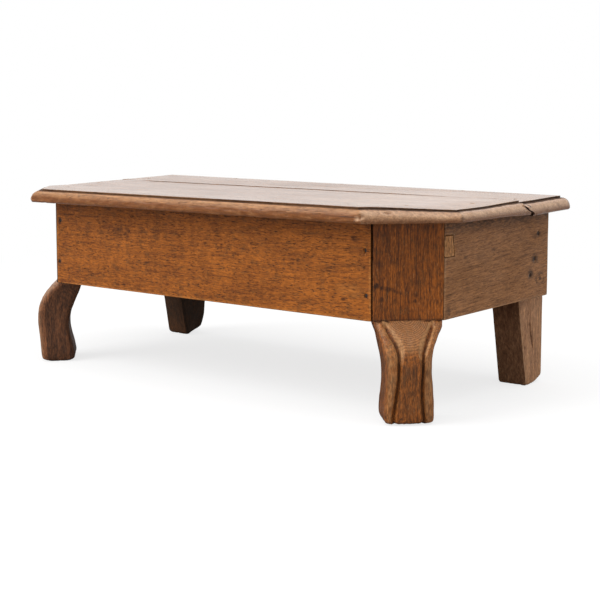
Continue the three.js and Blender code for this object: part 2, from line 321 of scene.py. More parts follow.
# The front board has warped: its ledge is high along the front and low at the right end, and
# its lower edge droops towards the crack
front_rise = 0.0023
right_drop = 0.0026
right_drop_fades = (-0.05, 0.075)
warp_reach = 0.08
front_droop = 0.0017
front_droop_reach = 0.06

# At the right end the seam leaves its line as a ragged crack through the moulding: how far down
# from the ledge, and how far along Y it has wandered there
crack_wander = (
    (0.0, -0.0032),
    (0.0023, -0.0035),
    (0.0045, -0.0019),
    (0.007, -0.0004),
    (0.0093, 0.0066),
    (0.0112, 0.0115),
    (0.0145, 0.013),
)
crack_reach = 0.035
crack_raggedness = 0.0018
crack_grain = 0.0034
seam_face_reach = 0.0006
crack_edge_reach = 0.009
crack_zone = 0.02
crack_step = 0.0014

# How wide the crack gapes, by how far down from the top face
crack_gape = (
    (0.0, 0.0015),
    (0.003, 0.0004),
    (0.0042, 0.0006),
    (0.0055, 0.0055),
    (0.009, 0.006),
    (0.0125, 0.0075),
    (0.0145, 0.0075),
    (0.0175, 0.006),
)
crack_opens = (0.0038, 0.005)
crack_full = 0.011
# Dirt and painted shade on the seam's faces, darker further down
seam_dirt_and_shade_size = 0.05
seam_dirt_and_shade_depths = (0.0005, 0.003)

# The right side's moulding is planed back behind the clipped corner's, most of all near it
side_set_back = 0.001
mitre_set_back = 0.0016
mitre_set_back_reach = 0.035
mitre_margin = 0.001

# How each moulded edge is worn and shaded: depth and width of the round's crest, which is painted pale
# as rubbed wear and a painted highlight, how pale it is, the depths between which the lower edge is
# painted darker as painted shade, and how dark it gets
moulding_wear_and_shade = {
    "front": (0.0038, 0.0022, 0.4, (0.0065, 0.0105), 1.0),
    "clip": (0.0068, 0.0046, 0.7, (0.0105, 0.015), 0.7),
    "side": (0.0068, 0.0046, 1.0, (0.0105, 0.015), 0.7),
    "left": (0.0068, 0.0046, 0.15, (0.0105, 0.015), 1.0),
}
lower_edge_rub = 0.0007
lower_edge_raggedness = 0.003
ragged_size = (0.008, 0.008, 0.003)
moulding_chip_size = (0.006, 0.006, 0.004)
left_bulge = 0.0018
left_bulge_depth = 0.009

# Dirt and painted shade in the fillet reach a little onto the round
fillet_dirt_and_shade_reach = 0.0007
end_fillet_dirt_and_shade_reach = 0.0002
fillet_dirt_and_shade_fades = 0.0003


def twist_lift(x, y):
    left_share = (half_top - x) / (2 * half_top)
    back_share = max(0.0, (y - y_twist_start) / (back_board_high.y - y_twist_start))
    return twist_rise * left_share * back_share


def packed_lift(x, y):
    """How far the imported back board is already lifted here."""
    left_share = (half_top - x) / (2 * half_top)
    back_share = max(0.0, (y - y_seam) / (back_board_high.y - y_seam))
    return twist_rise * left_share * back_share


def overhang_share(x):
    """From 0 over the frame to 1 near the right end, where the boards hang free."""
    return smooth(half_top - hang_starts, half_top - hang_full, x)


def back_board_drop(point, down_share):
    """How far the back board stands above or below the front one at a point."""
    near_seam = 1.0 - smooth(0.0, seam_step_reach, point.y - y_seam)
    proud = seam_step * (1.0 - smooth(*seam_step_fades, point.x)) * near_seam
    at_right = smooth(sink_starts, half_top, point.x)
    outside = overhang_share(point.x)
    to_rear = 1.0 - smooth(0.0, back_board_high.y - y_seam, point.y - y_seam)
    sunk = sink * at_right * to_rear * (1.0 - down_share * (1.0 - outside))
    hanging = overhang_sink * outside * down_share
    return proud - sunk - hanging


def front_board_warp(point, down_share):
    """How far a point of the front board stands above the flat."""
    distance, width, _ = nearest_edge(point)
    along_clip = (abs(point.x) - x_mitre) / (half_top - moulding_width_side - x_mitre)
    along_clip = min(max(along_clip, 0.0), 1.0)
    rise = front_rise * (1.0 - along_clip)
    if point.x > 0:
        rise -= right_drop * along_clip * (1.0 - smooth(*right_drop_fades, point.y))
    near_edge = 1.0 - smooth(0.0, warp_reach, distance - width)
    near_seam = 1.0 - smooth(0.0, front_droop_reach, y_seam - point.y)
    droop = front_droop * down_share * overhang_share(point.x) * near_seam
    return rise * near_edge * (1.0 - down_share) - droop


def top_lift(point, depth, is_back):
    """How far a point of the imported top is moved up."""
    lift = twist_lift(point.x, point.y)
    down_share = min(max(depth / top_thickness, 0.0), 1.0)
    if is_back:
        return lift + back_board_drop(point, down_share) - packed_lift(point.x, point.y)
    return lift + front_board_warp(point, down_share)


def crack_shift(point, depth, seed):
    in_moulding = smooth(
        half_top - moulding_width_side, half_top - 0.55 * moulding_width_side, point.x
    )
    wander = blend(crack_wander, depth - fillet_drop)
    return in_moulding * (wander + crack_raggedness * lumps(point, crack_grain, seed))


def nearest_edge(point):
    """How far inside the nearest moulded edge a point lies, the moulding's width and the edge."""
    clip_length = math.hypot(top_corner_along, top_corner_across)
    x, y = abs(point.x), point.y - board_low.y
    clip = ((x_mitre - x) * top_corner_across + y * top_corner_along) / clip_length
    return min(
        (y, moulding_width_front, "front"),
        (half_top - x, moulding_width_side, "side"),
        (clip, moulding_width_corner, "clip"),
        key=lambda entry: entry[0] / entry[1],
    )


# Chips and dents in the moulding: middle, sizes along X, Y and Z, depth, how pale and how dark
y_mitre = board_low.y + top_corner_across
clip_dent = Vector((x_mitre + 0.0225, board_low.y + 0.025, z_top - 0.0046))
clip_dent_zone = Vector((0.009, 0.009, 0.005))
dent_step = 0.0014
mitre_chip = Vector((x_mitre - 0.005, board_low.y, z_top - 0.0115))
mitre_nick = Vector((x_mitre - 0.0015, board_low.y, z_top - 0.009))
side_nick = Vector((half_top, y_mitre + 0.001, z_top - 0.013))
splinter = Vector((half_top - 0.004, y_seam - 0.007, z_top - 0.006))
top_dents = (
    (mitre_chip, (0.006, 0.01, 0.005), 0.002, 0.9, 0.0),
    (mitre_nick, (0.0022, 0.01, 0.0045), 0.0009, 0.0, 0.4),
    (clip_dent, (0.0075, 0.0075, 0.003), 0.0016, 0.0, 0.3),
    (side_nick, (0.006, 0.0025, 0.006), 0.0012, 0.0, 0.5),
    (splinter, (0.006, 0.0035, 0.003), 0.0012, 0.8, 0.0),
)


def finish_moulding(vert, point, depth, layers, seed):
    """Sets back, wears and darkens a point of a moulded edge: rubbed wear and a painted highlight on
    the crest, painted shade on the lower edge, dirt and painted shade in the fillet.
    """
    distance, width, edge = nearest_edge(point)
    if distance > width + fillet_reach / 2:
        return
    wear_and_highlight, grime_and_shade = layers["wear_and_highlight"], layers["grime_and_shade"]
    at_front, at_left = edge == "front", point.x < 0
    if edge == "side" and not at_left and point.y > y_mitre + mitre_margin:
        near_mitre = 1.0 - smooth(0.0, mitre_set_back_reach, point.y - y_mitre)
        vert.co.x -= side_set_back + mitre_set_back * near_mitre
    if depth < 0.25 * fillet_drop:
        return
    if at_left and not at_front:
        edge = "left"
        vert.co.x -= left_bulge * smooth(fillet_drop, left_bulge_depth, depth)
    vert[layers["moulding"]] = 1.0 if at_front else 0.3
    vert[layers["end_grain"]] = 0.0 if at_front else 0.6
    ragged = 0.5 + 0.5 * lumps(point, ragged_size, seed)
    crest_depth, crest_width, crest_pale_share, lower_depths, lower_share = moulding_wear_and_shade[edge]
    # Painted highlight and wear on the crest, painted shade on the lower edge below it
    crest = bell(depth, crest_depth, crest_width) * (0.4 + 0.6 * ragged)
    lower = smooth(*lower_depths, depth + lower_edge_raggedness * (ragged - 0.5))
    vert[wear_and_highlight] = max(vert[wear_and_highlight] * (1.0 - 0.7 * lower), crest_pale_share * crest)
    vert[layers["shaded_lower_edge"]] = lower_share * lower
    chip = smooth(0.15, 0.6, lumps(point, moulding_chip_size, seed + 9))
    vert.co -= vert.normal * lower_edge_rub * chip * lower
    # The fillet and the start of the round below it are painted dark with dirt and painted shade, which
    # widens the fillet's dark line.
    dirty_and_shaded_reach = fillet_dirt_and_shade_reach if at_front else end_fillet_dirt_and_shade_reach + fillet_dirt_and_shade_reach * ragged
    dirty_and_shaded_depth = fillet_drop + dirty_and_shaded_reach
    if distance > 0.5 * width and depth < dirty_and_shaded_depth:
        fade = 1.0 - 0.6 * smooth(fillet_drop + fillet_dirt_and_shade_fades, dirty_and_shaded_depth, depth)
        vert[grime_and_shade] = (0.6 + 0.3 * ragged if at_front else 0.8 + 0.2 * ragged) * fade
        vert[wear_and_highlight] = 0.0


def open_crack(vert, point, depth, away, layers, seed):
    """Parts the boards along the crack in the right end, and darkens the seam's faces with dirt and
    painted shade, black inside the open crack as painted shadow.
    """
    wear_and_highlight, grime_and_shade = layers["wear_and_highlight"], layers["grime_and_shade"]
    from_seam = abs(point.y - y_seam)
    at_end = smooth(half_top - moulding_width_side, half_top - crack_full, point.x)
    gape = blend(crack_gape, depth) * (0.9 + 0.9 * lumps(point, crack_grain, seed + 3))
    near = 1.0 - smooth(seam_face_reach, crack_edge_reach, from_seam)
    vert.co.y += away * 0.5 * gape * at_end * near
    if from_seam < seam_face_reach:
        vert.co.y -= away * seam_closed * (1.0 - at_end)
        # Darker further down the seam: dirt and painted shade. Where the crack is open the faces are
        # painted black: painted shadow.
        faint = 0.25 + 0.25 * lumps(point, seam_dirt_and_shade_size, 3.0) + 0.6 * smooth(*seam_dirt_and_shade_depths, depth)
        vert[grime_and_shade] = min(1.0, faint * (1.0 - at_end) + at_end)
        vert[wear_and_highlight] = 0.0
    elif from_seam < crack_edge_reach and depth < top_thickness - crack_step:
        open_share = smooth(*crack_opens, depth)
        # The open crack's edges are painted dark: painted shade inside it.
        vert[grime_and_shade] = max(vert[grime_and_shade], at_end * open_share * smooth(0.75, 0.95, near))
        vert[wear_and_highlight] *= 1.0 - at_end * near * open_share


def press_dents(flat, layers):
    """Presses the chips and dents into the moulding. Flat has each point's place in the solid."""
    wear_and_highlight, grime_and_shade = layers["wear_and_highlight"], layers["grime_and_shade"]
    for vert, point in flat.items():
        for middle, sizes, depth, pale, dark in top_dents:
            offset = point - middle
            reach = Vector([offset[i] / sizes[i] for i in range(3)]).length
            share = 1.0 - smooth(0.2, 1.0, reach)
            if share > 0.0:
                vert.co -= vert.normal * depth * share
                vert[wear_and_highlight] = max(vert[wear_and_highlight] * (1.0 - share), share * pale)
                vert[grime_and_shade] = max(vert[grime_and_shade], share * dark)


def top_board(node, is_back, material, seed):
    bm = solid_of(node)
    refine(bm, top_edge_radius, (top_step, top_step, top_step_up))
    cut_locally(
        bm,
        (half_top - moulding_width_side - crack_step, y_seam - crack_zone, z_under_top - crack_step),
        (half_top + crack_step, y_seam + crack_zone, z_top + crack_step),
        (crack_step,) * 3,
    )
    if not is_back:
        cut_locally(bm, clip_dent - clip_dent_zone, clip_dent + clip_dent_zone, (dent_step,) * 3)
    names = ("wear_and_highlight", "grime_and_shade", "end_grain", "moulding", "shaded_lower_edge")
    layers = {name: layer(bm, name) for name in names}
    flat = {vert: vert.co.copy() for vert in bm.verts}
    for point in flat.values():
        point.z -= packed_lift(point.x, point.y) if is_back else 0.0
    weather(bm, ALONG_X, top_swell, top_rub, seed)
    for vert, point in flat.items():
        depth = z_top - point.z
        vert.co.z += top_lift(point, depth, is_back)
        near_seam = 1.0 - smooth(0.0, crack_reach, abs(point.y - y_seam))
        vert.co.y += crack_shift(point, depth, 5.0) * near_seam
        finish_moulding(vert, point, depth, layers, seed)
        open_crack(vert, point, depth, 1 if is_back else -1, layers, seed)
    bm.normal_update()
    press_dents(flat, layers)
    return piece_from(bm, node + "_wood", [node], material)


# The carved front legs. Shares of the leg from the floor up: height, width towards the front
# apron and towards the side one, reach in front of the corner face, depth behind it, and the
# places of the two carved grooves as shares of those widths.
leg_station_shares = (
    (0.0, 0.6, 0.6, 0.51, 0.46, 0.66, 0.55),
    (0.024, 0.685, 0.645, 0.77, 0.61, 0.68, 0.55),
    (0.07, 0.735, 0.66, 0.85, 0.67, 0.67, 0.545),
    (0.14, 0.747, 0.662, 0.876, 0.65, 0.625, 0.505),
    (0.22, 0.738, 0.655, 0.9, 0.59, 0.593, 0.465),
    (0.31, 0.722, 0.635, 0.933, 0.503, 0.565, 0.452),
    (0.41, 0.706, 0.602, 0.97, 0.449, 0.532, 0.47),
    (0.51, 0.703, 0.575, 0.997, 0.454, 0.506, 0.515),
    (0.6, 0.716, 0.577, 0.985, 0.514, 0.493, 0.533),
    (0.7, 0.753, 0.608, 0.9, 0.649, 0.48, 0.553),
    (0.79, 0.795, 0.697, 0.725, 0.777, 0.545, 0.62),
    (0.87, 0.838, 0.82, 0.495, 0.91, 0.66, 0.665),
    (0.94, 0.908, 0.967, 0.21, 0.986, 0.69, 0.68),
    (0.97, 0.935, 0.99, 0.09, 1.0, 0.705, 0.683),
    (1.0, 0.962, 1.005, 0.01, 1.0, 0.72, 0.69),
)
knee_reach = 0.0315
blank_depth = 0.035
lobe_radius = 0.009
back_edge_radius = 0.007
leg_levels = 110
front_points = 150
side_points = 16
back_points = 28
groove_outer_width = 0.0045
groove_inner_width = 0.0035
facet_extra_width = 0.0078
facet_height_share = 0.83
facet_spread_share = 0.15
groove_depth = 0.0048
groove_top_fade_share = 0.08
tool_mark_size = (0.006, 0.006, 0.012)
tool_mark_depth = 0.0004
fan_crown = 0.001
fan_foot_shares = (0.66, 0.8)
ledge_arch = 0.0013
# Painted shade on the carved legs' sides and back, and a painted highlight on their lobes
flank_shade = 0.5
lobe_highlight = 0.4
foot_raggedness = 0.0022
foot_ragged_size = 0.003
foot_fade_height = 0.004
foot_dark_height = 0.001
ledge_fade_height = 0.003
leg_ragged_size = (0.004, 0.004, 0.012)
smallest_lobe_radius = 0.001
lobe_edge_fade = 0.004


def station(column, height_share):
    """A column of the station table at any height, as a smooth curve through its values."""
    table = leg_station_shares
    i = 0
    while i < len(table) - 2 and table[i + 1][0] < height_share:
        i += 1
    low, high = table[i], table[i + 1]
    span = high[0] - low[0]

    def slope(at):
        before, after = table[max(at - 1, 0)], table[min(at + 1, len(table) - 1)]
        return (after[column] - before[column]) / (after[0] - before[0])

    t = (height_share - low[0]) / span
    return (
        (2 * t**3 - 3 * t**2 + 1) * low[column]
        + (t**3 - 2 * t**2 + t) * span * slope(i)
        + (3 * t**2 - 2 * t**3) * high[column]
        + (t**3 - t**2) * span * slope(i + 1)
    )


def groove(offset, height_share):
    """Depth of a carved groove at an offset from its bottom, positive towards the middle of the leg."""
    facet = facet_extra_width * bell(height_share, facet_height_share, facet_spread_share)
    fade = smooth(1.0 + groove_top_fade_share / 4, 1.0 - groove_top_fade_share, height_share)
    if offset > 0:
        return groove_depth * fade * max(0.0, 1.0 - offset / (groove_inner_width + facet))
    return groove_depth * fade * smooth(-groove_outer_width, 0.0, offset)


def rounding(distance, radius):
    """How far a rounded corner drops back at a distance from the side face."""
    if distance >= radius:
        return 0.0
    return radius - math.sqrt(max(0.0, radius**2 - (radius - distance) ** 2))


def spread(i, count):
    """A step on the way from 0 to 1, where the steps are closer together at both ends."""
    return 0.5 - 0.5 * math.cos(math.pi * i / count)


def leg_ring(height_share):
    """Points round the leg: across the corner face, outwards from it, how deep the carving is, how
    much the point belongs to the fan between the grooves and how much to the lobes beside them."""
    halves = [corner_half_width * station(column, height_share) for column in (1, 2)]
    width = halves[0] + halves[1]
    reach = knee_reach * station(3, height_share)
    depth = blank_depth * station(4, height_share)
    grooves = (-halves[0] * station(5, height_share), halves[1] * station(6, height_share))
    radii = [
        max(smallest_lobe_radius, min(lobe_radius, half - abs(at) - groove_outer_width * 0.7))
        for half, at in zip(halves, grooves)
    ]
    middle = (grooves[0] + grooves[1]) / 2
    fan_half = (grooves[1] - grooves[0]) / 2
    fan_height = smooth(*fan_foot_shares, height_share)
    points = []
    for i in range(front_points + 1):
        across = -halves[0] + width * spread(i, front_points)
        carved = groove(across - grooves[0], height_share) + groove(grooves[1] - across, height_share)
        from_middle = abs(across - middle) / fan_half
        crown = fan_crown * max(0.0, 1.0 - from_middle**2)
        left = rounding(halves[0] + across, radii[0])
        right = rounding(halves[1] - across, radii[1])
        fan = fan_height * (1.0 - smooth(0.75, 0.95, from_middle))
        lobe = smooth(0.0, groove_outer_width, max(grooves[0] - across, across - grooves[1]))
        lobe *= smooth(0.0, lobe_edge_fade, min(halves[0] + across, halves[1] - across))
        out = reach - max(left, right) - carved + crown
        points.append((across, out, carved / groove_depth, fan, lobe))
    back_edge = -depth + back_edge_radius
    for i in range(1, side_points):
        start = reach - radii[1]
        points.append((halves[1], start + (back_edge - start) * i / side_points, 0.0, 0.0, 0.0))
    for i in range(back_points + 1):
        across = halves[1] - width * spread(i, back_points)
        drop = max(
            rounding(halves[0] + across, back_edge_radius),
            rounding(halves[1] - across, back_edge_radius),
        )
        points.append((across, -depth + drop, 0.0, 0.0, 0.0))
    for i in range(1, side_points):
        end = reach - radii[0]
        points.append((-halves[0], back_edge + (end - back_edge) * i / side_points, 0.0, 0.0, 0.0))
    return points


def on_corner(across, out, height, side=1):
    point = corner_middle + corner_along * across + corner_out * out
    return Vector((side * point.x, point.y, height))


def carved_leg(side, seed):
    bm = bmesh.new()
    wear_and_highlight, grime_and_shade, fan_layer = layer(bm, "wear_and_highlight"), layer(bm, "grime_and_shade"), layer(bm, "fan")
    rings = []
    for level in range(leg_levels + 1):
        height_share = 1.0 - math.cos(math.pi / 2 * (level / leg_levels) ** 0.8)
        near_top = smooth(0.9, 1.0, height_share)
        ring = []
        for i, (across, out, carved, fan, lobe) in enumerate(leg_ring(height_share)):
            arch = ledge_arch * near_top * max(0.0, 1.0 - (across / corner_half_width) ** 2)
            vert = bm.verts.new(on_corner(across, out, leg_height * height_share + arch, side))
            ragged = 0.5 + 0.5 * lumps(vert.co, leg_ragged_size, seed)
            # Grooves are painted dark with dirt and painted shade, the sides and back with painted
            # shade, and the lobes and facets pale as painted highlights.
            vert[grime_and_shade] = groove_dirt_and_shade(carved, height_share) * (0.6 + 0.5 * ragged)
            if i > front_points:
                vert[grime_and_shade] = flank_shade * (0.5 + ragged)
            rubbed_and_lit = lobe * lobe_highlight * (0.5 + ragged)
            vert[wear_and_highlight] = max(facet_highlight(carved, height_share), rubbed_and_lit)
            vert[fan_layer] = fan
            ring.append(vert)
        rings.append(ring)
    for low, high in zip(rings, rings[1:]):
        for i, corner in enumerate(low):
            after = (i + 1) % len(low)
            bm.faces.new((corner, low[after], high[after], high[i]))
    bm.faces.new(reversed(rings[0]))
    bm.faces.new(rings[-1])
    if side < 0:
        bmesh.ops.reverse_faces(bm, faces=bm.faces)
    bm.normal_update()
    for vert in bm.verts:
        fade = smooth(0.0, foot_fade_height, vert.co.z)
        fade *= smooth(0.0, ledge_fade_height, leg_height - vert.co.z)
        vert.co += vert.normal * tool_mark_depth * lumps(vert.co, tool_mark_size, seed) * fade
        fray_foot(vert, grime_and_shade, seed)
    return bm


# The facets beside the grooves are painted pale, a painted highlight that is strongest high on the leg.
def facet_highlight(carved, height_share):
    on_facet = smooth(0.0, 0.15, carved) * (1.0 - smooth(0.5, 0.9, carved))
    return on_facet * (0.1 + 0.85 * smooth(0.58, 0.72, height_share))


def groove_dirt_and_shade(carved, height_share):
    """A groove's dirt and painted shade are darkest halfway down the leg."""
    return smooth(0.4, 0.95, carved) * (0.5 + 0.5 * bell(height_share, 0.55, 0.22))


def fray_foot(vert, grime_and_shade, seed):
    """A foot's lowest end is ragged and dark where it has soaked up dirt from the floor."""
    fray = smooth(foot_fade_height, 0.0, vert.co.z)
    if fray > 0.0:
        ragged = smooth(-0.1, 0.6, lumps(vert.co, foot_ragged_size, seed + 7))
        vert.co.z += foot_raggedness * fray * ragged
        dark = 0.9 * smooth(foot_fade_height, foot_dark_height, vert.co.z)
        vert[grime_and_shade] = max(vert[grime_and_shade], dark * (0.4 + 0.6 * ragged))


post_step = 0.004
post_edge_radius = 0.0006

# Painted shade sits in the corner over the ledge, fading over these heights
ledge_shade = (0.005, 0.001)


def front_leg(name, side, material, seed):
    """The carved leg with the post above it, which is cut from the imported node."""
    node = "front_leg_" + name
    post = solid_of(node)
    bmesh.ops.bisect_plane(
        post,
        geom=post.verts[:] + post.edges[:] + post.faces[:],
        dist=merge_distance,
        plane_co=ALONG_Z * leg_height,
        plane_no=ALONG_Z,
        clear_inner=True,
    )
    bmesh.ops.holes_fill(post, edges=[edge for edge in post.edges if edge.is_boundary])
    refine(post, post_edge_radius, (post_step, post_step, post_step))
    weather(post, ALONG_Z, apron_swell, apron_rub, seed)
    wear_and_highlight, grime_and_shade = layer(post, "wear_and_highlight"), layer(post, "grime_and_shade")
    layer(post, "fan")
    outward = Vector((side * corner_out.x, corner_out.y, 0))
    for vert in post.verts:
        over_ledge = vert.co.z - leg_height
        vert[grime_and_shade] = max(vert[grime_and_shade], 0.8 * smooth(*ledge_shade, over_ledge))
        # Faces that don't face outwards are painted black: painted shade in the gaps beside the aprons
        # and behind the post.
        if abs(vert.normal.dot(outward)) < 0.6:
            vert[grime_and_shade] = 1.0
            vert[wear_and_highlight] = 0.0
    leg = carved_leg(side, seed)
    joined = bpy.data.meshes.new(node + "_carving")
    leg.to_mesh(joined)
    leg.free()
    post.from_mesh(joined)
    bpy.data.meshes.remove(joined)
    return piece_from(post, node + "_wood", [node], material)


# Rear legs

rear_leg_step = 0.004
rear_leg_edge_radius = 0.002
rear_leg_swell = 0.0006
rear_leg_rub = 0.0006

# A drying crack in the outer face of the right one: (Y, Z) along it, its half width and depth
drying_crack = ((0.1535, 0.0875), (0.1552, 0.0745), (0.1592, 0.062), (0.163, 0.053))
crack_half_width = 0.002
crack_depth = 0.0025
crack_margin = 0.004
crack_steps = (1.0, 0.0009, 0.0016)

# The right one is a little broader than its packed core below the apron
right_rear_widening = 0.0016
right_rear_deepening = 0.0012

# The left one stands a little further in. Its inner rear edge tapers and is broken off at the foot.
left_rear_shift = 0.0047
left_rear_edge_out = 0.0078
left_rear_taper = 0.0112
left_rear_break = 0.0065
left_rear_break_height = 0.036
rear_foot_radii = {"left": 0.006, "right": 0.003}

# How far the rear edge's shape reaches from the rear face, and the heights where the painted shade
# deepens
rear_edge_reach = (0.04, 0.012)
rear_shade_heights = (0.08, 0.11)
rear_foot_heights = (0.008, 0.04)


def distance_to_path(point, path):
    best = 1.0
    for start, end in zip(path, path[1:]):
        a, b = Vector(start), Vector(end)
        along = min(max((point - a).dot(b - a) / (b - a).length_squared, 0.0), 1.0)
        best = min(best, (point - a - (b - a) * along).length)
    return best


def rear_leg(name, side, material, seed):
    node = "rear_leg_" + name
    low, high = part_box(node)
    middle = (low + high) / 2
    x_outer = high.x if side > 0 else low.x
    bm = solid_of(node)
    refine(bm, rear_leg_edge_radius, (rear_leg_step, rear_leg_step, rear_leg_step))
    if side > 0:
        ys, zs = zip(*drying_crack)
        cut_locally(
            bm,
            (x_outer - crack_margin, min(ys) - crack_margin, min(zs) - crack_margin),
            (x_outer + crack_margin, max(ys) + crack_margin, max(zs) + crack_margin),
            crack_steps,
        )
    weather(bm, ALONG_Z, rear_leg_swell, rear_leg_rub, seed)
    wear_and_highlight, grime_and_shade = layer(bm, "wear_and_highlight"), layer(bm, "grime_and_shade")
    bm.normal_update()
    for vert in bm.verts:
        outward = vert.normal.x * side
        place = vert.co
        # Faces that don't face outwards are painted dark, darker higher up, and get less of the pale
        # tone: painted shade under the stool.
        shade_by_height = 0.7 + 0.16 * smooth(*rear_shade_heights, place.z)
        vert[grime_and_shade] = shade_by_height * (1.0 - smooth(0.35, 0.8, outward))
        vert[wear_and_highlight] *= 0.4 + 0.6 * smooth(0.0, 0.6, outward)
        inner_share = (x_outer - place.x) / (side * (high.x - low.x))
        rear_share = smooth(high.y - rear_edge_reach[0], high.y - rear_edge_reach[1], place.y)
        below_apron = smooth(z_under_top, leg_height, place.z)
        if side > 0:
            place.x -= right_rear_widening * inner_share * below_apron
            place.y += right_rear_deepening * rear_share * below_apron
        if side > 0 and outward > 0.8:
            near = 1.0 - smooth(0.0, crack_half_width, distance_to_path(place.yz, drying_crack))
            place.x -= crack_depth * near
            vert[grime_and_shade] = max(vert[grime_and_shade], near)
        if side < 0:
            down_share = 1.0 - min(place.z / leg_height, 1.0)
            edge_out = left_rear_edge_out - left_rear_taper * down_share
            edge_out -= left_rear_break * (1.0 - smooth(0.0, left_rear_break_height, place.z))
            place.x += below_apron * (left_rear_shift + edge_out * inner_share * rear_share)
            # The left one is painted almost black as painted shade, a little lighter low on its front
            # face.
            on_front_face = smooth(0.3, 0.8, -vert.normal.y)
            near_foot = 1.0 - smooth(*rear_foot_heights, place.z)
            vert[grime_and_shade] = 0.97 - (0.12 + 0.25 * near_foot) * on_front_face
        place.z = max(place.z, 0.0)
        pull = rounding(place.z, rear_foot_radii[name])
        for axis in (0, 1):
            offset = place[axis] - middle[axis]
            place[axis] -= math.copysign(min(abs(offset), pull), offset)
        fray_foot(vert, grime_and_shade, seed)
    return piece_from(bm, node + "_wood", [node], material)


# Nails: a slightly domed hammered head on a round shank that tapers to its point

nail_head_radius = 0.0027
nail_head_thickness = 0.001
nail_dome = 0.0003
nail_shank_radius = 0.0013
nail_tip_radius = 0.0004
nail_taper = 0.008
nail_sides = 20
nail_roughness = 0.00015

nail_facings = {
    "front_apron_nail": Vector((0, -1, 0)),
    "back_apron_nail": Vector((0, 1, 0)),
    "side_apron_nail_left": Vector((-1, 0, 0)),
    "side_apron_nail_right": Vector((1, 0, 0)),
    "top_": Vector((0, 0, 1)),
}


def nail(node, material):
    facing = next(way for start, way in nail_facings.items() if node.startswith(start))
    low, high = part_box(node)
    middle = (low + high) / 2
    length = abs((high - low).dot(facing))
    head = middle + facing * length / 2
    if node.startswith("top_"):
        head.z += top_lift(head, 0.0, node.startswith("top_back"))
    profile = (
        (nail_head_radius * 0.6, -nail_dome * 0.3),
        (nail_head_radius * 0.92, -nail_dome),
        (nail_head_radius, -nail_dome * 2),
        (nail_head_radius * 0.95, -nail_head_thickness),
        (nail_shank_radius, -nail_head_thickness * 1.2),
        (nail_shank_radius, nail_taper - length),
        (nail_tip_radius, -length),
    )
    turn = ALONG_Z.rotation_difference(facing)
    bm = bmesh.new()
    crown = bm.verts.new(head)
    rings = []
    for radius, depth in profile:
        ring = []
        for i in range(nail_sides):
            angle = 2 * math.pi * i / nail_sides
            point = Vector((radius * math.cos(angle), radius * math.sin(angle), depth))
            ring.append(bm.verts.new(turn @ point + head))
        rings.append(ring)
    for i in range(nail_sides):
        bm.faces.new((crown, rings[0][i], rings[0][(i + 1) % nail_sides]))
    for upper, lower in zip(rings, rings[1:]):
        for i in range(nail_sides):
            after = (i + 1) % nail_sides
            bm.faces.new((upper[i], lower[i], lower[after], upper[after]))
    bm.faces.new(reversed(rings[-1]))
    bm.normal_update()
    for vert in bm.verts:
        vert.co -= vert.normal * nail_roughness * (0.5 + 0.5 * lumps(vert.co, nail_head_radius))
    return piece_from(bm, node + "_iron", [node], material)


# Materials

usual_warp = 0.014
usual_ring_size = 0.0034
usual_flecks = 0.3
usual_specular = 0.2
wax_ior = 1.25
pore_relief = 0.0004
rust_size = 0.001
rust_relief = 0.0002

# The wood's figures: size of the lumps along and across the grain, detail and roughness
figures = {
    "drift": (0.2, 0.05, 2.0, 0.55),
    "wobble": (0.05, 0.012, 2.0, 0.55),
    "streaks": (0.12, 0.0036, 5.0, 0.62),
    "fibres": (0.03, 0.0013, 3.0, 0.6),
    "bands": (0.014, 0.03, 5.0, 0.7),
    "veins": (0.08, 0.0036, 2.0, 0.5),
    "patches": (0.12, 0.045, 3.0, 0.55),
    "mottles": (0.013, 0.0075, 4.0, 0.62),
    "dashes": (0.0065, 0.0011, 2.0, 0.5),
    "flecks": (0.006, 0.0012, 2.0, 0.55),
    "ragged": (0.01, 0.004, 4.0, 0.55),
    "scratches": (0.07, 0.009, 4.0, 0.65),
}
grit_noise = (3.0, 0.6)


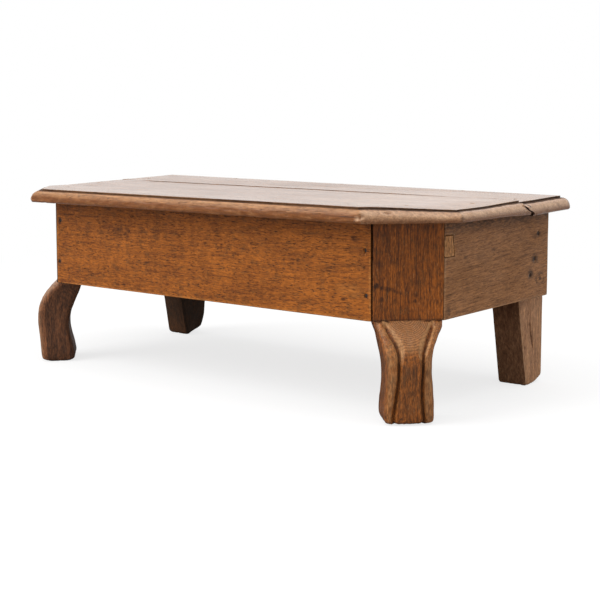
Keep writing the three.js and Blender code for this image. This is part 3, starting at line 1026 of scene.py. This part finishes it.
class Shader:
    """A material's nodes, with short ways to add them and join them."""

    def __init__(self, name, grain=ALONG_Z):
        self.material = bpy.data.materials.new(name)
        self.material.use_nodes = True
        self.tree = self.material.node_tree
        self.surface = self.tree.nodes["Principled BSDF"]
        self.place = self.add("TexCoord", {}).outputs["Object"]
        self.grain = grain
        self.colour = None

    def join(self, value, socket):
        if isinstance(value, bpy.types.NodeSocket):
            self.tree.links.new(value, socket)
        else:
            socket.default_value = value

    def set(self, **values):
        """Gives the surface's own sockets a plain value or a link."""
        for name, value in values.items():
            self.join(value, self.surface.inputs[name.replace("_", " ")])

    def add(self, kind, sockets, **settings):
        made = self.tree.nodes.new("ShaderNode" + kind)
        for key, value in settings.items():
            setattr(made, key, value)
        for key, value in sockets.items():
            self.join(value, made.inputs[key])
        return made

    def math(self, operation, first, second=0.0):
        return self.add("Math", {0: first, 1: second}, operation=operation).outputs[0]

    def plus(self, first, second):
        return self.math("ADD", first, second)

    def times(self, first, second):
        return self.math("MULTIPLY", first, second)

    def vector(self, operation, first, second):
        return self.add("VectorMath", {0: first, 1: second}, operation=operation).outputs["Vector"]

    def scaled(self, place, sizes):
        """The place divided by a size along each axis, so that a pattern has lumps of that size."""
        return self.vector("DIVIDE", place, Vector(sizes))

    def length(self, vector):
        return self.add("VectorMath", {0: vector}, operation="LENGTH").outputs["Value"]

    def noise(self, place, detail, roughness=0.55):
        sockets = {"Vector": place, "Scale": 1.0, "Detail": detail, "Roughness": roughness}
        return self.add("TexNoise", sockets).outputs["Fac"]

    def figure(self, place, along, across, detail, roughness):
        """Noise with lumps of one size along the grain and another across it."""
        sizes = [along if axis else across for axis in self.grain]
        return self.noise(self.scaled(place, sizes), detail, roughness)

    def range(self, value, low, high, to_low=0.0, to_high=1.0):
        sockets = {0: value, 1: low, 2: high, 3: to_low, 4: to_high}
        return self.add("MapRange", sockets, interpolation_type="SMOOTHSTEP").outputs[0]

    def mix(self, factor, first, second):
        sockets = {0: factor, 6: first, 7: second}
        return self.add("Mix", sockets, data_type="RGBA").outputs[2]

    def paint(self, factor, tone):
        """Lays a tone over the colour so far."""
        self.colour = self.mix(factor, self.colour, tone)

    def emboss(self, height, strength, distance):
        bump = self.add("Bump", {"Height": height, "Strength": strength, "Distance": distance})
        self.set(Normal=bump.outputs["Normal"])

    def attribute(self, name):
        return self.add("Attribute", {}, attribute_name=name).outputs["Fac"]

    def marks(self, places, as_rings):
        """The strongest of several soft marks, each with its middle, its reach along each axis and
        its strength. They are spots, or rings such as the rim of a knot."""
        fades = (0.08, 0.3) if as_rings else (0.3, 1.0)
        total = 0.0
        for middle, reach, strength in places:
            offset = self.vector("SUBTRACT", self.place, middle)
            distance = self.length(self.scaled(offset, reach))
            if as_rings:
                distance = self.math("ABSOLUTE", self.math("SUBTRACT", distance, 0.85))
            total = self.math("MAXIMUM", total, self.range(distance, *fades, strength, 0.0))
        return total


def rgb(red, green, blue):
    """A colour from display values of 0 to 255, as linear light."""

    def linear(value):
        share = value / 255
        return share / 12.92 if share <= 0.04045 else ((share + 0.055) / 1.055) ** 2.4

    return (linear(red), linear(green), linear(blue), 1.0)


def wood_figure(shader, pith, look):
    """The place bent as the grain is, the growth rings, the broad patches, and how dark the wood
    is from all its figures."""
    place = shader.place
    drift = shader.figure(place, *figures["drift"])
    warp = Vector((look.get("warp", usual_warp),) * 3)
    bent = shader.vector("ADD", place, shader.vector("MULTIPLY", drift, warp))
    if "slope" in look:
        sockets = {0: place, 1: shader.grain}
        along = shader.add("VectorMath", sockets, operation="DOT_PRODUCT").outputs["Value"]
        fall = shader.vector("MULTIPLY", along, ALONG_Z * -look["slope"])
        bent = shader.vector("ADD", bent, fall)
    off_axis = shader.vector("SUBTRACT", bent, Vector(pith))
    distance = shader.length(shader.vector("MULTIPLY", off_axis, Vector((1, 1, 1)) - shader.grain))
    wobble = shader.times(shader.figure(bent, *figures["wobble"]), look.get("wobble", 1.0))
    turns = shader.math("DIVIDE", distance, look.get("ring_size", usual_ring_size))
    rings = shader.range(shader.math("FRACT", shader.plus(turns, wobble)), 0.35, 0.95)

    lines = shader.range(shader.figure(bent, *figures["streaks"]), 0.42, 0.64, 0.0, look["streaks"])
    fibres = shader.range(shader.figure(bent, *figures["fibres"]), 0.45, 0.65, 0.0, look["fibres"])
    veins = shader.math("SUBTRACT", shader.figure(bent, *figures["veins"]), 0.5)
    veins = shader.range(shader.math("ABSOLUTE", veins), 0.0, 0.05, look.get("veins", 0.0), 0.0)
    lines = shader.plus(shader.plus(lines, fibres), veins)
    along_share = shader.range(shader.attribute("end_grain"), 0.0, 1.0, 1.0, 0.25)
    fan_rings = look.get("fan_rings", look["rings"])
    ring_share = shader.range(shader.attribute("fan"), 0.0, 1.0, look["rings"], fan_rings)
    darkness = shader.plus(shader.times(lines, along_share), shader.times(rings, ring_share))
    bands = shader.figure(place, *figures["bands"])
    darkness = shader.plus(darkness, shader.range(bands, 0.4, 0.62, 0.0, look.get("bands", 0.0)))
    patches = shader.figure(place, *figures["patches"])
    darkness = shader.plus(darkness, shader.range(patches, 0.3, 0.7, -0.12, 0.18))
    return bent, rings, patches, darkness


def wax_and_pores(shader, look, bent, patches, dashes, darkness):
    """Gives wood its gloss, which dirt and painted shade take away, and sinks its pores."""
    grime_and_shade = shader.attribute("grime_and_shade")
    gloss = shader.range(patches, 0.3, 0.7, look["roughness"] - 0.06, look["roughness"] + 0.08)
    gloss = shader.plus(gloss, shader.times(dashes, 0.2))
    gloss = shader.plus(gloss, shader.times(grime_and_shade, 0.4))
    shader.set(Roughness=gloss, Specular_IOR_Level=look.get("specular", usual_specular))
    if "wax" in look:
        wax = shader.range(shader.attribute("moulding"), 0.0, 1.0, 1.0, 0.4)
        clean_and_unshaded = shader.math("SUBTRACT", 1.0, grime_and_shade)
        wax = shader.times(wax, shader.range(clean_and_unshaded, 0.3, 1.0))
        scratches = shader.figure(bent, *figures["scratches"])
        wax = shader.times(wax, shader.range(scratches, 0.54, 0.68, 1.0, 0.65))
        shader.set(Coat_Weight=wax, Coat_Roughness=look["wax"], Coat_IOR=wax_ior)
    relief = shader.plus(dashes, shader.times(darkness, 0.35))
    shader.emboss(shader.times(relief, -1.0), 0.8, pore_relief)


def oak(name, grain, pith, tones, look, dark_marks=(), pale_marks=(), knots=()):
    """Waxed oak. The grain is a direction and the pith a point on the log's axis. The look says
    how strong each kind of figure is."""
    pale, late, mottle, pore, rubbed_and_lit = [rgb(*tone) for tone in tones]
    shader = Shader(name, grain)
    bent, rings, patches, darkness = wood_figure(shader, pith, look)
    mottles = shader.figure(shader.place, *figures["mottles"])
    dashes = shader.figure(bent, *figures["dashes"])
    dashes = shader.range(dashes, 0.57, 0.68, 0.0, look["dashes"])
    flecks = shader.figure(shader.place, *figures["flecks"])
    shader.colour = shader.mix(darkness, pale, late)
    shader.paint(shader.range(mottles, 0.5, 0.7, 0.0, look["mottles"]), mottle)
    shader.paint(dashes, pore)
    shader.paint(shader.range(flecks, 0.62, 0.72, 0.0, look.get("flecks", usual_flecks)), rubbed_and_lit)

    if "moulding" in look:
        moulding = shader.attribute("moulding")
        moulded = shader.mix(darkness, look["moulding"], look["shaded_lower_edge"])
        shader.paint(shader.range(moulding, 0.0, 1.0, 0.0, 0.8), moulded)
        shader.paint(shader.times(dashes, moulding), pore)
        uneven = shader.range(mottles, 0.35, 0.6, 0.5, 1.0)
        # The lower edge is laid on in its own darker tone: painted shade.
        shader.paint(shader.times(shader.attribute("shaded_lower_edge"), uneven), look["shaded_lower_edge"])
    # Rubbed wear and painted highlights from the mesh, laid on in the pale tone
    pale_strength = shader.range(mottles, 0.35, 0.6, 0.45, 1.0)
    shader.paint(shader.times(shader.attribute("wear_and_highlight"), pale_strength), rubbed_and_lit)
    # The fan is painted in the pale tone with its rings: end grain, and painted light on its upward
    # face.
    if "fan_rings" in look:
        fan_colour = shader.mix(shader.times(rings, look["fan_rings"]), rubbed_and_lit, late)
        shader.paint(shader.range(shader.attribute("fan"), 0.0, 1.0, 0.0, 0.45), fan_colour)
    ragged = shader.range(shader.figure(bent, *figures["ragged"]), 0.35, 0.6)
    ragged = shader.plus(shader.times(ragged, 0.6), 0.4)
    for places, tone, as_rings in (
        (pale_marks, rubbed_and_lit, False),
        (dark_marks, pore, False),
        (knots, pore, True),
    ):
        if places:
            shader.paint(shader.times(shader.marks(places, as_rings), ragged), tone)

    grit = shader.figure(bent, *look["grit_size"], *grit_noise)
    grit = shader.range(grit, 0.36, 0.64, -look["grit"], look["grit"])
    grit = shader.times(grit, shader.range(shader.attribute("fan"), 0.0, 1.0, 1.0, 0.35))
    shader.colour = shader.vector("MULTIPLY", shader.colour, shader.plus(grit, 1.0))
    # Dirt and painted shade from the mesh, laid on in the pore tone
    dirt_and_shade_strength = shader.range(ragged, 0.4, 1.0, 0.88, 1.0)
    shader.paint(shader.times(shader.attribute("grime_and_shade"), dirt_and_shade_strength), pore)
    shader.set(Base_Color=shader.colour)
    wax_and_pores(shader, look, bent, patches, dashes, darkness)
    return shader.material


def iron():
    shader = Shader("old_iron")
    rust = shader.range(shader.noise(shader.scaled(shader.place, (rust_size,) * 3), 4.0), 0.4, 0.62)
    shader.set(
        Base_Color=shader.mix(rust, rgb(34, 30, 30), rgb(58, 38, 28)),
        Roughness=shader.range(rust, 0.0, 1.0, 0.5, 0.8),
        Metallic=0.4,
    )
    shader.emboss(rust, 0.5, rust_relief)
    return shader.material


# Tones of each kind of wood: pale wood, late wood, mottling, pores, rubbed edges and painted highlights
top_tones = ((162, 120, 88), (110, 76, 52), (124, 92, 70), (34, 20, 14), (212, 172, 136))
front_tones = ((176, 100, 32), (116, 61, 19), (104, 66, 31), (52, 26, 12), (202, 134, 66))
side_tones = ((172, 118, 73), (122, 80, 46), (116, 82, 54), (50, 32, 20), (186, 140, 100))
leg_tones = ((164, 90, 26), (90, 46, 14), (86, 56, 26), (30, 14, 6), (188, 138, 90))
left_leg_tones = ((150, 94, 58), (86, 54, 36), (84, 60, 44), (30, 18, 12), (180, 134, 96))
rear_tones = ((204, 152, 110), (152, 108, 78), (146, 112, 90), (66, 33, 14), (210, 168, 130))
# The left rear leg's tones are a darker copy of the rear tones: painted shade.
dark_rear_tones = ((128, 80, 44), (92, 56, 30), (70, 48, 32), (54, 42, 34), (130, 88, 56))
patch_tones = ((190, 134, 80), (150, 100, 60), (150, 106, 68), (58, 34, 20), (200, 148, 100))

# How strong each figure shows
top_look = dict(
    rings=0.25, streaks=0.6, fibres=0.45, dashes=0.6, mottles=0.35, roughness=0.45, wax=0.22,
    # The moulding's lower edge tone is painted shade.
    grit=0.16, grit_size=(0.012, 0.0017), moulding=rgb(164, 110, 60), shaded_lower_edge=rgb(120, 68, 26),
)
front_look = dict(
    rings=0.1, streaks=0.35, fibres=0.35, bands=0.3, dashes=0.8, mottles=0.5, flecks=0.5,
    roughness=0.5, grit=0.22, grit_size=(0.008, 0.0016),
)
side_look = dict(
    rings=0.08, streaks=0.3, fibres=0.7, dashes=0.5, mottles=0.25, roughness=0.55, slope=0.045,
    grit=0.17, grit_size=(0.01, 0.0016),
)
leg_look = dict(
    rings=0.3, fan_rings=0.6, ring_size=0.0018, streaks=0.5, fibres=0.3, veins=0.5, dashes=0.5,
    mottles=0.5, roughness=0.42, specular=0.25, warp=0.003, wobble=0.25,
    grit=0.3, grit_size=(0.007, 0.0017),
)
rear_look = dict(
    rings=0.3, streaks=0.6, fibres=0.4, dashes=0.5, mottles=0.25, roughness=0.62,
    grit=0.24, grit_size=(0.008, 0.0017),
)
patch_look = dict(
    rings=0.5, ring_size=0.003, streaks=0.3, fibres=0.3, dashes=0.3, mottles=0.3, roughness=0.6,
    grit=0.4, grit_size=(0.006, 0.002),
)

pith_depth = 0.09
patch_pith = Vector((half_frame, -0.02, 0.2))


def board_pith(low, high, inward):
    return (low + high) / 2 + inward * pith_depth


# How far the marks on the boards' faces go into the wood
mark_depth = 0.02


def front_marks(*rows):
    """Marks on the front apron, each from its X and Z, its reach along them and its strength."""
    return [
        (Vector((x, y_front, z)), (reach_x, mark_depth, reach_z), strength)
        for x, z, reach_x, reach_z, strength in rows
    ]


def side_marks(*rows):
    """The same on the right side apron, each from its Y and Z."""
    return [
        (Vector((half_frame, y, z)), (mark_depth, reach_y, reach_z), strength)
        for y, z, reach_y, reach_z, strength in rows
    ]


def on_post(along, z):
    """A place on the right post, so far from its front arris."""
    return corner_front + corner_along * along + ALONG_Z * z


def round_spot(place, radius, strength):
    return (place, (radius,) * 3, strength)


def smear(start, end, radius, strength, count=4):
    """A row of spots from one place to another."""
    return [round_spot(start.lerp(end, i / (count - 1)), radius, strength) for i in range(count)]


front_dark_marks = front_marks(
    (-0.2815, 0.2195, 0.005, 0.008, 0.85),
    (-0.2835, 0.157, 0.006, 0.009, 0.75),
    (0.28, 0.212, 0.005, 0.005, 0.6),
    (0.281, 0.1556, 0.005, 0.005, 0.6),
    (0.2636, 0.2254, 0.006, 0.005, 0.7),
    (0.2457, 0.149, 0.005, 0.004, 0.7),
    (-0.219, 0.21, 0.009, 0.016, 0.5),
    (-0.156, 0.209, 0.013, 0.015, 0.55),
    (-0.137, 0.209, 0.009, 0.014, 0.5),
    (-0.109, 0.215, 0.008, 0.01, 0.3),
    (-0.079, 0.214, 0.01, 0.012, 0.4),
    (-0.0485, 0.189, 0.004, 0.004, 0.6),
    (0.0137, 0.204, 0.004, 0.004, 0.5),
    (0.2485, 0.192, 0.03, 0.004, 0.45),
    (0.225, 0.184, 0.025, 0.004, 0.35),
    # Painted shade under the top's overhang, along the apron's upper edge
    (0.0, 0.252, 1.5, 0.02, 0.55),
)
# A painted pool of light low on the apron's right
front_pale_marks = front_marks((0.256, 0.161, 0.03, 0.012, 0.25))
side_dark_marks = side_marks(
    (0.1598, 0.2137, 0.008, 0.005, 0.9),
    (0.1508, 0.1796, 0.015, 0.0105, 0.85),
    (0.1378, 0.1587, 0.013, 0.0095, 0.85),
    (0.167, 0.1505, 0.005, 0.004, 0.8),
    (-0.079, 0.133, 0.01, 0.01, 0.6),
    (-0.037, 0.199, 0.008, 0.004, 0.45),
    (0.035, 0.203, 0.006, 0.003, 0.5),
    # Painted shade under the top's overhang
    (0.05, 0.252, 0.8, 0.03, 0.8),
)
side_knots = side_marks((0.1665, 0.1505, 0.0135, 0.0088, 0.55))

# Round spots on the post: place along it, height, radius and strength
post_spots = (
    (0.0055, 0.169, 0.0055, 0.9),
    (0.0543, 0.1575, 0.0055, 0.7),
    (0.0531, 0.15, 0.0035, 0.6),
    (0.008, 0.1963, 0.007, 0.55),
    (0.0253, 0.1985, 0.006, 0.4),
    (0.0108, 0.1518, 0.005, 0.5),
    (0.0794, 0.1482, 0.005, 0.6),
    (0.0757, 0.1954, 0.005, 0.5),
    (0.0102, 0.2318, 0.008, 0.4),
)
post_dark_marks = [
    *(round_spot(on_post(along, z), radius, strength) for along, z, radius, strength in post_spots),
    *smear(on_post(0.0125, 0.1665), on_post(0.024, 0.164), 0.0042, 0.75),
    *smear(on_post(0.024, 0.164), on_post(0.035, 0.1595), 0.003, 0.6),
    # Painted shade at the post's top, under the top's overhang
    (on_post(0.045, 0.25), (0.06, 0.06, 0.016), 0.55),
]
leg_dark_marks = [
    round_spot(on_corner(0.0245, 0.024, 0.064), 0.005, 0.7),
    round_spot(on_corner(0.0235, 0.026, 0.059), 0.003, 0.6),
    round_spot(on_corner(-0.008, 0.029, 0.083), 0.0035, 0.6),
    round_spot(on_corner(-0.0085, 0.0285, 0.046), 0.003, 0.6),
    (on_corner(0.001, 0.031, 0.068), (0.0035, 0.0035, 0.011), 0.5),
]
leg_pale_marks = [(on_corner(0.0, 0.02, 0.052), (0.07, 0.07, 0.085), 0.12)]
rear_dark_marks = [
    round_spot(Vector((0.347, 0.1397, 0.0548)), 0.004, 0.7),
    (Vector((0.347, 0.157, 0.068)), (0.006, 0.007, 0.016), 0.45),
    # Painted shade on the leg's top, under the apron's lower edge
    (Vector((0.33, 0.12, 0.124)), (0.05, 0.03, 0.022), 0.5),
]

# A hairline that leaves the crack in the right end's moulding, drawn as a dark line: painted shade
hairline_start = Vector((half_top - 0.0095, y_seam + 0.0055, z_top - 0.0049))
hairline_end = Vector((half_top - 0.0042, y_seam + 0.0104, z_top - 0.0083))
hairline_width = 0.0024
hairline_spots = 8
top_dark_marks = [
    *smear(hairline_start, hairline_end, hairline_width, 1.0, hairline_spots),
    # A fine crack in the front moulding, drawn only as a dark line: painted shade
    (Vector((0.279, board_low.y, z_top - 0.0095)), (0.02, 0.006, 0.0008), 0.9),
    (Vector((-0.375, -0.035, z_top)), (0.008, 0.004, 0.004), 0.5),
    (Vector((0.075, -0.054, z_top)), (0.008, 0.003, 0.004), 0.5),
]
top_pale_marks = [
    (Vector((half_top - 0.004, y_seam - 0.008, z_top - 0.006)), (0.008, 0.005, 0.006), 0.7),
    (Vector((x_mitre + 0.07, board_low.y + 0.07, z_top - 0.01)), (0.012, 0.012, 0.004), 0.5),
    (Vector((half_top - 0.005, y_seam + 0.0028, z_top - 0.007)), (0.004, 0.003, 0.003), 0.8),
    # A broad painted sheen over the right of the top
    (Vector((0.27, 0.02, z_top)), (0.2, 0.2, 0.02), 0.25),
]


def build_stool():
    top = oak(
        "oak_of_top", ALONG_X, board_pith(board_low, board_high, -ALONG_Z), top_tones, top_look,
        top_dark_marks, top_pale_marks,
    )
    front = oak(
        "oak_of_front_apron", ALONG_X, board_pith(front_low, front_high, ALONG_Y), front_tones,
        front_look, front_dark_marks, front_pale_marks,
    )
    back = oak(
        "oak_of_back_apron", ALONG_X, board_pith(back_low, back_high, -ALONG_Y), side_tones, side_look
    )
    patch = oak("oak_of_patch", ALONG_Z, patch_pith, patch_tones, patch_look)
    metal = iron()
    top_board("top_front_board", False, top, 11.0)
    top_board("top_back_board", True, top, 23.0)
    apron("front_apron", ALONG_X, front, 31.0)
    apron("back_apron", ALONG_X, back, 37.0)
    apron("side_apron_patch", ALONG_Y, patch, 41.0)
    for name, side in SIDES:
        is_right = side > 0
        side_wood = oak(
            "oak_of_side_apron_" + name, ALONG_Y,
            Vector((side * (half_frame - pith_depth), 0.0, leg_height)),
            side_tones, side_look, side_dark_marks if is_right else (),
            knots=side_knots if is_right else (),
        )
        leg_wood = oak(
            "oak_of_front_leg_" + name, ALONG_Z, on_corner(0.0, -0.012, 0.0, side),
            leg_tones if is_right else left_leg_tones, leg_look,
            post_dark_marks + leg_dark_marks if is_right else (), leg_pale_marks if is_right else (),
        )
        rear_low, rear_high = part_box("rear_leg_" + name)
        rear_wood = oak(
            "oak_of_rear_leg_" + name, ALONG_Z, board_pith(rear_low, rear_high, ALONG_Y),
            rear_tones if is_right else dark_rear_tones, rear_look, rear_dark_marks if is_right else (),
        )
        apron("side_apron_" + name, ALONG_Y, side_wood, 43.0 + side)
        front_leg(name, side, leg_wood, 53.0 + side)
        rear_leg(name, side, rear_wood, 61.0 + side)
    for node in sorted(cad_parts):
        if "_nail_" in node:
            nail(node, metal)


# Floor, light and camera

floor_half_size = 8.0
floor_tone = 0.5
floor_tone_seen = 0.27
floor_glow = 0.75
shadow_fades = (0.75, 1.6)


def floor_material():
    """A pale floor that the camera sees as white, with the stool's soft shadow on it. It goes
    over into the plain white backdrop away from the stool."""
    shader = Shader("pale_floor")
    camera_ray = shader.add("LightPath", {}).outputs["Is Camera Ray"]
    far = shader.range(shader.length(shader.place), *shadow_fades)
    seen_tone = shader.range(far, 0.0, 1.0, floor_tone_seen, 0.0)
    tone_change = shader.times(camera_ray, shader.math("SUBTRACT", seen_tone, floor_tone))
    glow = shader.range(far, 0.0, 1.0, floor_glow, 1.0)
    shader.set(
        Base_Color=shader.plus(tone_change, floor_tone),
        Emission_Color=(1, 1, 1, 1),
        Emission_Strength=shader.times(glow, camera_ray),
        Roughness=1.0,
        Specular_IOR_Level=0.0,
    )
    return shader.material


def build_floor():
    mesh = bpy.data.meshes.new("floor")
    h = floor_half_size
    mesh.from_pydata([(-h, -h, 0), (h, -h, 0), (h, h, 0), (-h, h, 0)], [], [(0, 1, 2, 3)])
    mesh.materials.append(floor_material())
    floor = add_object("floor", mesh)


world_light = 0.5


def build_world():
    """Soft white light from everywhere. The camera and reflections see plain white."""
    world = bpy.data.worlds.new("studio")
    world.use_nodes = True
    tree = world.node_tree
    background = tree.nodes["Background"]
    path = tree.nodes.new("ShaderNodeLightPath")
    seen = path.outputs["Is Camera Ray"]
    for ray in ("Is Glossy Ray", "Is Transmission Ray"):
        either = tree.nodes.new("ShaderNodeMath")
        either.operation = "MAXIMUM"
        tree.links.new(seen, either.inputs[0])
        tree.links.new(path.outputs[ray], either.inputs[1])
        seen = either.outputs[0]
    strength = tree.nodes.new("ShaderNodeMapRange")
    strength.inputs["To Min"].default_value = world_light
    strength.inputs["To Max"].default_value = 1.0
    tree.links.new(seen, strength.inputs["Value"])
    tree.links.new(strength.outputs[0], background.inputs["Strength"])
    background.inputs["Color"].default_value = (1, 1, 1, 1)
    bpy.context.scene.world = world


# Soft lamps: name, place, size and power in watts
lamps = (
    ("window", (-1.4, -2.4, 2.4), 2.2, 78.0),
    ("ceiling", (0.5, -0.3, 2.6), 2.4, 42.0),
)


def build_lamps():
    for name, place, size, power in lamps:
        light = bpy.data.lights.new(name, "AREA")
        light.size = size
        light.energy = power
        lamp = add_object(name, light)
        lamp.location = place
        lamp.rotation_euler = (-Vector(place)).to_track_quat("-Z", "Y").to_euler()


camera_place = Vector((1.1335, -1.37275, 0.3784))
camera_azimuth = math.radians(38.0458)
camera_pitch = math.radians(5.8792)
camera_lens_mm = 73.375
camera_sensor_mm = 36.0
camera_shift = -0.1


def build_camera():
    data = bpy.data.cameras.new("camera")
    data.lens = camera_lens_mm
    data.sensor_width = camera_sensor_mm
    data.shift_y = camera_shift
    data.clip_start = 0.05
    camera = add_object("camera", data)
    camera.location = camera_place
    camera.rotation_euler = (math.pi / 2 - camera_pitch, 0.0, camera_azimuth)
    bpy.context.scene.camera = camera


build_stool()
build_floor()
build_world()
build_lamps()
build_camera()
bpy.context.scene.view_settings.view_transform = "Standard"
